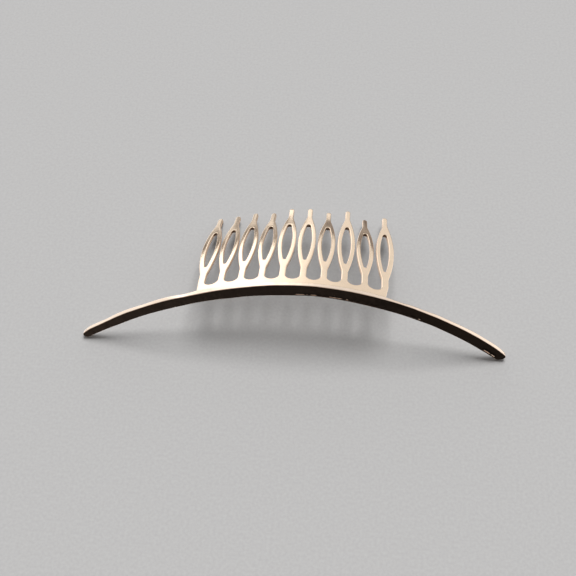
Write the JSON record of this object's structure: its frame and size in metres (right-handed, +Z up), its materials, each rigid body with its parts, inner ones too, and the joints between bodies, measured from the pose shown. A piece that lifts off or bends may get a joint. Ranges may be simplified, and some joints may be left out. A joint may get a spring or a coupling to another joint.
{
  "type": "hair comb",
  "caption": "Slim arched metal hair comb: a flat curved bar with rounded ends and a stamped comb plate of looped teeth soldered behind its upper edge.",
  "frame": {"origin": "centre of the footprint, on the surface the comb lies on, with both bar ends and one tooth tip touching", "axes": "+X along the bar, from its straighter arm to its rounder arm; +Y the way the teeth point; +Z up"},
  "size_m": [0.1106, 0.043, 0.0195],
  "materials": {
    "plated_bar": "polished champagne gold plating, lightly hammered",
    "plated_comb": "polished champagne gold plating",
    "solder": "satin, plated over with the comb"
  },
  "bodies": {
    "root": {"arched_bar": "plated_bar", "comb_plate": "plated_comb", "solder_fillet": "solder"}
  },
  "joints": []
}
